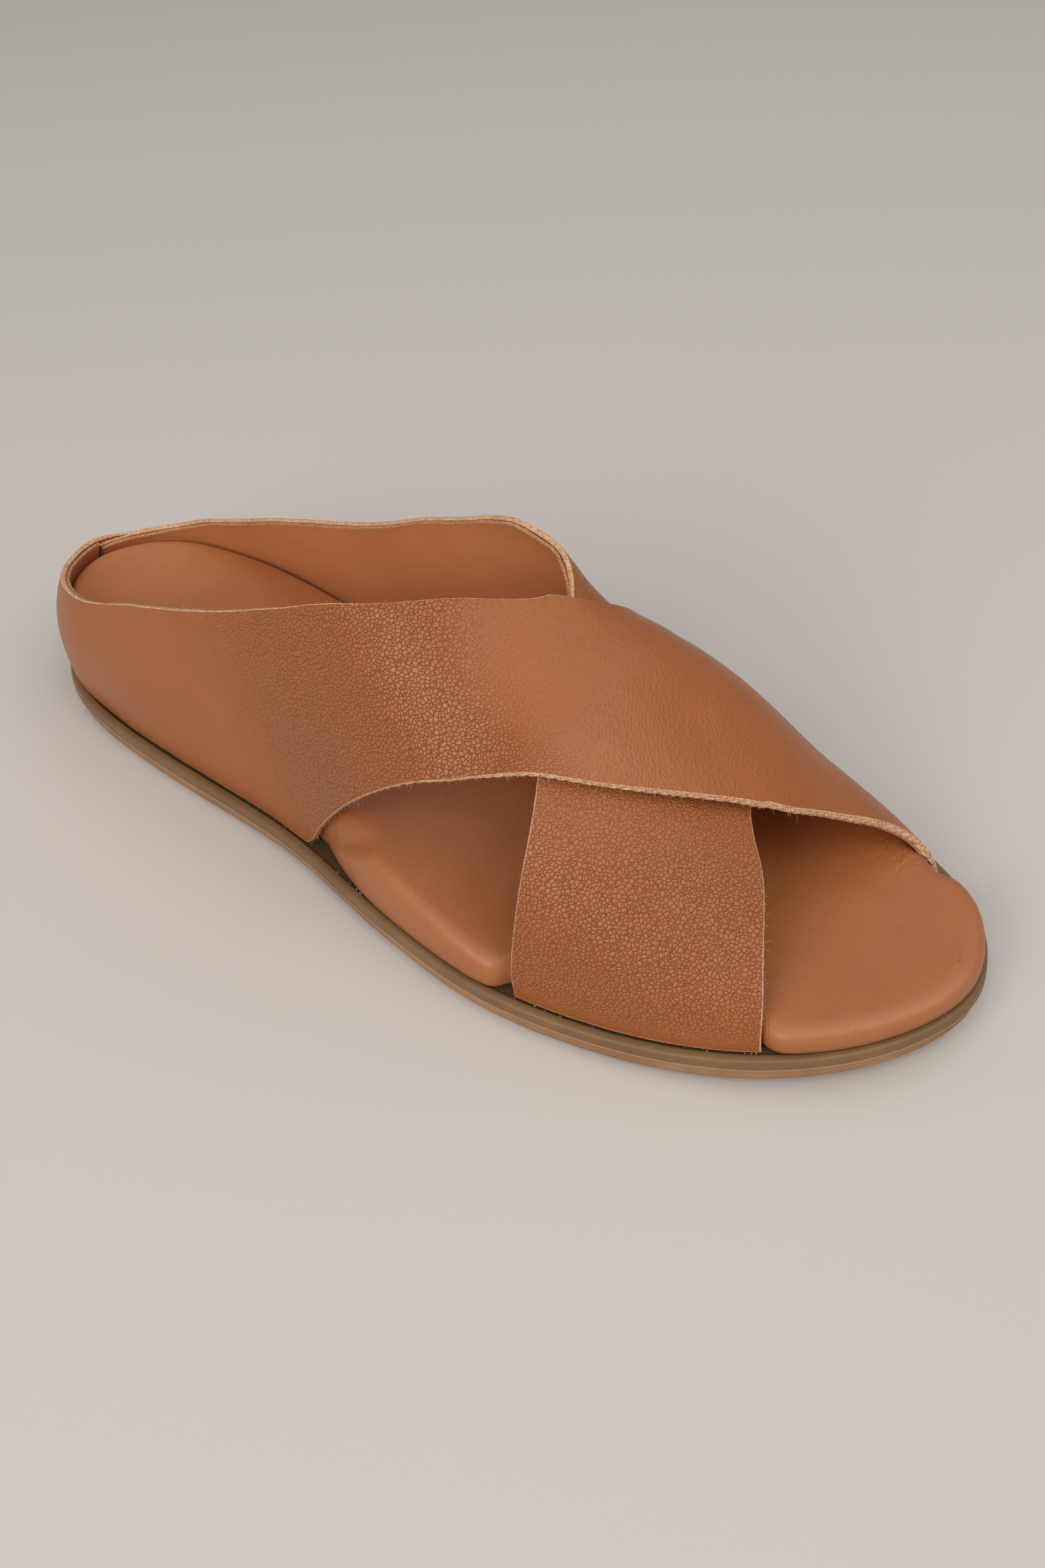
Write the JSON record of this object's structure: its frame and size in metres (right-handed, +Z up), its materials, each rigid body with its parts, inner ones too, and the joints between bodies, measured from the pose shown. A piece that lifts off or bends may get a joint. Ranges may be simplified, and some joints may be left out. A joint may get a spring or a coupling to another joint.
{
  "type": "cross strap sandal",
  "caption": "Slip-on sandal for the right foot: wide leather straps cross over the instep from low heel quarters, on a padded footbed and a thin flat outsole.",
  "frame": {"origin": "centre of the outsole's footprint on the ground", "axes": "+X from the heel to the toe, +Y to the medial side, +Z up"},
  "size_m": [0.2527, 0.0926, 0.0739],
  "materials": {
    "outsole": "satin",
    "wedge": "matte",
    "footbed": "satin",
    "upper": "satin, grained"
  },
  "bodies": {
    "root": {"outsole": "outsole", "midsole_wedge": "wedge", "footbed": "footbed", "upper": "upper"}
  },
  "joints": []
}
